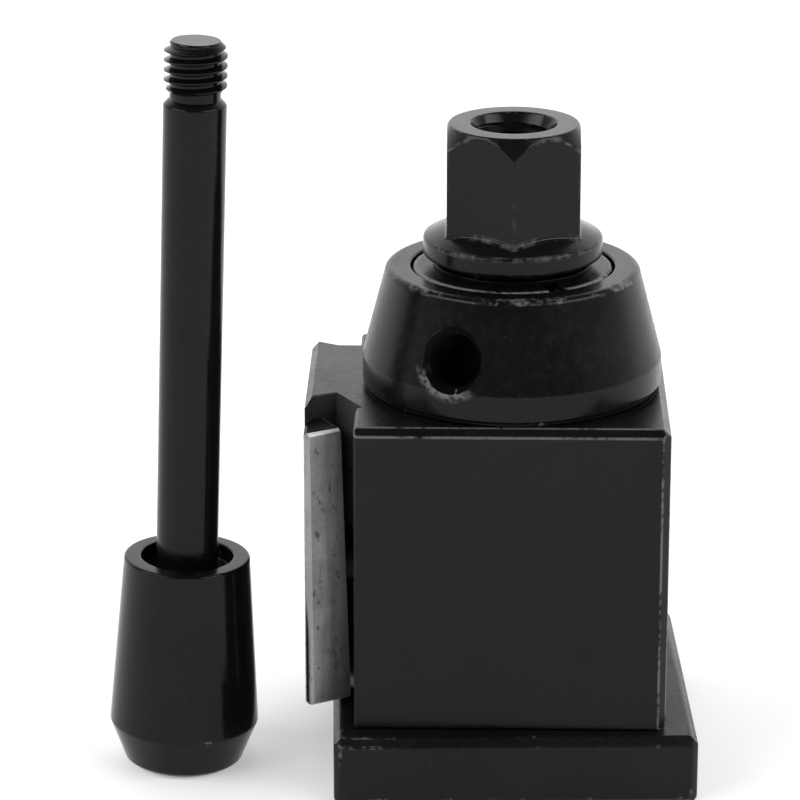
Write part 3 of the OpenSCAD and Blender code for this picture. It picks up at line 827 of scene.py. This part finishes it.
def make_knob():
    """The tapered knob, with a rounded foot and a counterbore round the rod."""
    top_r, waist_r, skirt_r = 8.15 * MM, 9.7 * MM, 7.7 * MM
    skirt_z, waist_z = 0.6 * MM, 5.75 * MM
    recess_r, recess_floor = 5.98 * MM, knob_h - 2.2 * MM
    mouth_r, hole_r, hole_floor = rod_r + press, tenon_r + press, tenon_foot - press
    knob = turned("knob", [
        (0, 0, 0), (knob_foot_r, 0, 0.4 * MM), (skirt_r, skirt_z, 0.6 * MM), (waist_r, waist_z, 0.3 * MM),
        (top_r, knob_h, 0.35 * MM), (recess_r, knob_h, 0.2 * MM), (recess_r, recess_floor, 0.3 * MM),
        (mouth_r, recess_floor, 0), (mouth_r, rod_seat, 0), (hole_r, rod_seat, 0),
        (hole_r, hole_floor, 0), (0, hole_floor, 0)])
    knob.matrix_world = handle_place
    install(knob, "handle", knob_black, "handle_knob")


# ---------------------------------------------------------------- inner pieces, camera, light

def dress_inner_nodes():
    """The inner nodes keep their CAD shapes and get proper metals."""
    nodes_of = {
        plain_steel: ("core_dowel", "cam_sleeve", "hub_drive_pins", "retaining_shim"),
        pin_steel: ("gib_pin_left", "gib_pin_back"),
        bronze: ("cam_thrust_washer",)}
    for material, nodes in nodes_of.items():
        for node in nodes:
            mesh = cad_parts[node].data
            mesh.materials.clear()
            mesh.materials.append(material)


def make_camera():
    """The camera stands half a metre in front of the post and looks down on it a little."""
    place = Vector((-4.725, -492.56, 211.91)) * MM
    ahead = Vector((-0.018827, 0.948102, -0.317409))
    data = bpy.data.cameras.new("camera")
    data.lens = 179.4
    data.sensor_width = 36.0
    data.clip_start = 0.05
    data.clip_end = 20.0
    camera = bpy.data.objects.new("camera", data)
    camera.matrix_world = Matrix.Translation(place) @ ahead.to_track_quat("-Z", "Y").to_matrix().to_4x4()
    bpy.context.scene.collection.objects.link(camera)
    bpy.context.scene.camera = camera


def area_light(name, place, size, radiance, target=(0.0, 0.0, 0.03), seen=True):
    """A soft box of a given radiance. One that isn't seen lights things but is in no reflection."""
    data = bpy.data.lights.new(name, "AREA")
    data.shape = "RECTANGLE"
    data.size, data.size_y = size
    data.energy = radiance * math.pi * size[0] * size[1]
    light = bpy.data.objects.new(name, data)
    light.visible_glossy = seen
    aim = Vector(target) - Vector(place)
    light.matrix_world = Matrix.Translation(place) @ aim.to_track_quat("-Z", "Y").to_matrix().to_4x4()
    bpy.context.scene.collection.objects.link(light)


def around(azimuth, elevation, distance):
    """A place at an angle to the right of the front, an angle up, and a distance from the post."""
    a, e = math.radians(azimuth), math.radians(elevation)
    level = distance * math.cos(e)
    return level * math.sin(a), -level * math.cos(a), distance * math.sin(e)


def make_world():
    """A studio that is dark in front and overhead, grey at its sides and bright behind."""
    front, side, back = 0.12, 0.55, 1.45
    world = bpy.data.worlds.new("studio")
    g = Graph(world, "Generated")
    _, towards_back, up = g.split(g.place)
    level = g.spread(towards_back, -0.85, 0.0, front, side)
    level = g.math("ADD", level, g.spread(towards_back, 0.1, 0.85, 0.0, back - side))
    overhead = g.spread(up, 0.5, 0.9, 1.0, 0.25)
    background = g.tree.nodes["Background"]
    background.inputs["Color"].default_value = (1.0, 1.0, 1.0, 1.0)
    g.link(g.math("MULTIPLY", level, overhead), background.inputs["Strength"])
    bpy.context.scene.world = world


def make_studio():
    """A pale floor, a pale world and soft boxes."""
    bm = bmesh.new()
    bmesh.ops.create_grid(bm, x_segments=1, y_segments=1, size=4.0)
    floor = finish_mesh(bm, "floor")
    floor.location.z = -0.02 * MM
    g = Graph(bpy.data.materials.new("floor_pale"))
    g.shader.inputs["Base Color"].default_value = (0.86, 0.86, 0.86, 1.0)
    g.shader.inputs["Roughness"].default_value = 0.9
    g.shader.inputs["Specular IOR Level"].default_value = 0.0
    # The floor glows a little, as a lit table does, and more far from the post, so that it stays pale.
    x, y, _ = g.split(g.place)
    g.shader.inputs["Emission Color"].default_value = (1.0, 1.0, 1.0, 1.0)
    g.link(g.spread(g.length(x, y), 0.5, 1.3, 0.35, 1.0), g.shader.inputs["Emission Strength"])
    floor.data.materials.append(g.owner)
    make_world()
    for name, azimuth in (("left_box", -63), ("right_box", 63)):
        area_light(name, around(azimuth, 35, 1.2), (1.1, 0.42), 4.5)
    area_light("floor_box", (0.0, 0.35, 0.8), (0.8, 0.6), 1.2, target=(0.0, 0.35, 0.0), seen=False)
    bpy.context.scene.view_settings.view_transform = "Standard"


make_camera()
make_studio()
make_plate()
make_block()
make_gibs()
make_hub()
make_ring()
make_core()
make_washers()
make_stud()
make_nut()
make_rod()
make_knob()
dress_inner_nodes()
